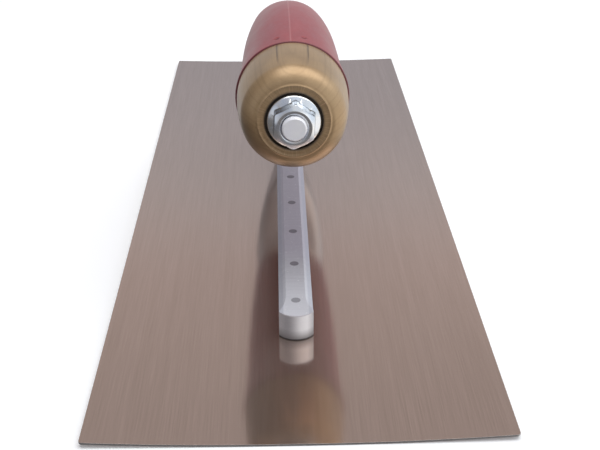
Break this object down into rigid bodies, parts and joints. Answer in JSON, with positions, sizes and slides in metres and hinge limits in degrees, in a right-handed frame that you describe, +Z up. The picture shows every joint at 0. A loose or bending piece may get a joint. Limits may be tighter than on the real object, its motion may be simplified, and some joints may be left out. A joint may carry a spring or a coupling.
{
  "type": "steel finishing trowel",
  "caption": "Rectangular finishing trowel: a thin steel blade riveted to a round-ended bar, with a post at the front that carries a turned handle clamped on a rod by a flange nut.",
  "frame": {"origin": "centre of the blade's underside, on the flat strip under the mounting bar", "axes": "+Y along the blade to its front, away from the nut; +Z up through the handle; +X across the blade"},
  "size_m": [0.127, 0.3556, 0.0878],
  "materials": {
    "blade_steel": "satin golden stainless steel with fine grain along the blade",
    "bar_aluminium": "ground, with fine marks across the bar",
    "rivet_aluminium": "ground flush",
    "cast_aluminium": "fine cast, tumbled",
    "screw_steel": "plain machined",
    "zinc_plated_steel": "bright zinc plate",
    "lacquered_wood": "gold lacquer over turned hardwood, semi-gloss",
    "red_grip": "semi-gloss red"
  },
  "bodies": {
    "root": {"blade": "blade_steel", "mounting_bar": "bar_aluminium", "blade_rivets": "rivet_aluminium", "handle_post": "cast_aluminium", "post_screws": "screw_steel", "handle_rod": "zinc_plated_steel", "handle_core": "lacquered_wood", "grip_sleeve": "red_grip", "flange_nut": "zinc_plated_steel"}
  },
  "joints": []
}
